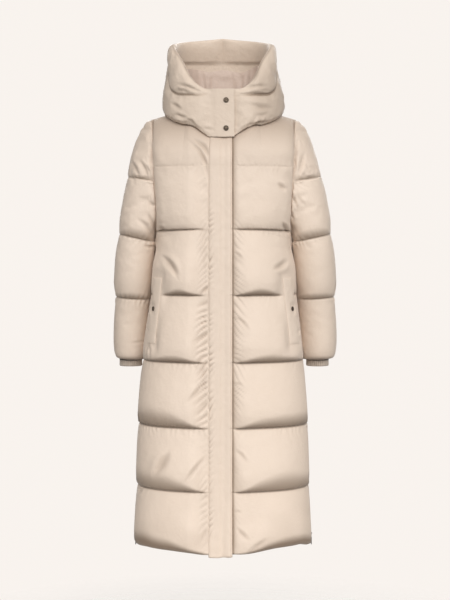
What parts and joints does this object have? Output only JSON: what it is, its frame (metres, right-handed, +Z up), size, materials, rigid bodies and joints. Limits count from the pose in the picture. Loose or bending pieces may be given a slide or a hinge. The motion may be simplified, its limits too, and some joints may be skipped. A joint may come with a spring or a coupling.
{
  "type": "long hooded puffer coat",
  "caption": "Long quilted puffer coat, closed and filled out as worn, with a snap-throat hood, stand collar, placket, slanted pockets, rib cuffs and side zips.",
  "frame": {"origin": "middle of the neck, level with the inner ends of the shoulder seams", "axes": "+Z up; the coat faces -Y; -X is the wearer's right side"},
  "size_m": [0.6471, 0.3381, 1.4395],
  "materials": {
    "shell": "satin nylon, champagne beige",
    "knit": "matt rib knit, beige",
    "zip": "woven tape with moulded teeth, beige",
    "metal": "dark antique grey-brown"
  },
  "bodies": {
    "coat": {"back": "shell", "front_right": "shell", "front_left": "shell", "placket": "shell", "sleeve_right": "shell", "sleeve_left": "shell", "collar": "shell", "hood_right": "shell", "hood_left": "shell", "pocket_welt_right": "shell", "pocket_welt_left": "shell", "cuff_right": "knit", "cuff_left": "knit", "front_zip": "zip", "side_zip_right": "zip", "side_zip_left": "zip", "throat_snap_upper": "metal", "throat_snap_lower": "metal", "pocket_snap_right": "metal", "pocket_snap_left": "metal", "side_slider_right": "metal", "side_slider_left": "metal"},
    "pull_right": {"side_pull_right": "metal"},
    "pull_left": {"side_pull_left": "metal"}
  },
  "joints": [
    {"name": "side_pull_right_swing", "type": "hinge", "parent": "coat", "child": "pull_right", "pos_m": [-0.24762, 0, -1.184], "axis": [0, 1, 0], "range_deg": [0, 150]},
    {"name": "side_pull_left_swing", "type": "hinge", "parent": "coat", "child": "pull_left", "pos_m": [0.24762, 0, -1.184], "axis": [0, -1, 0], "range_deg": [0, 150]}
  ]
}
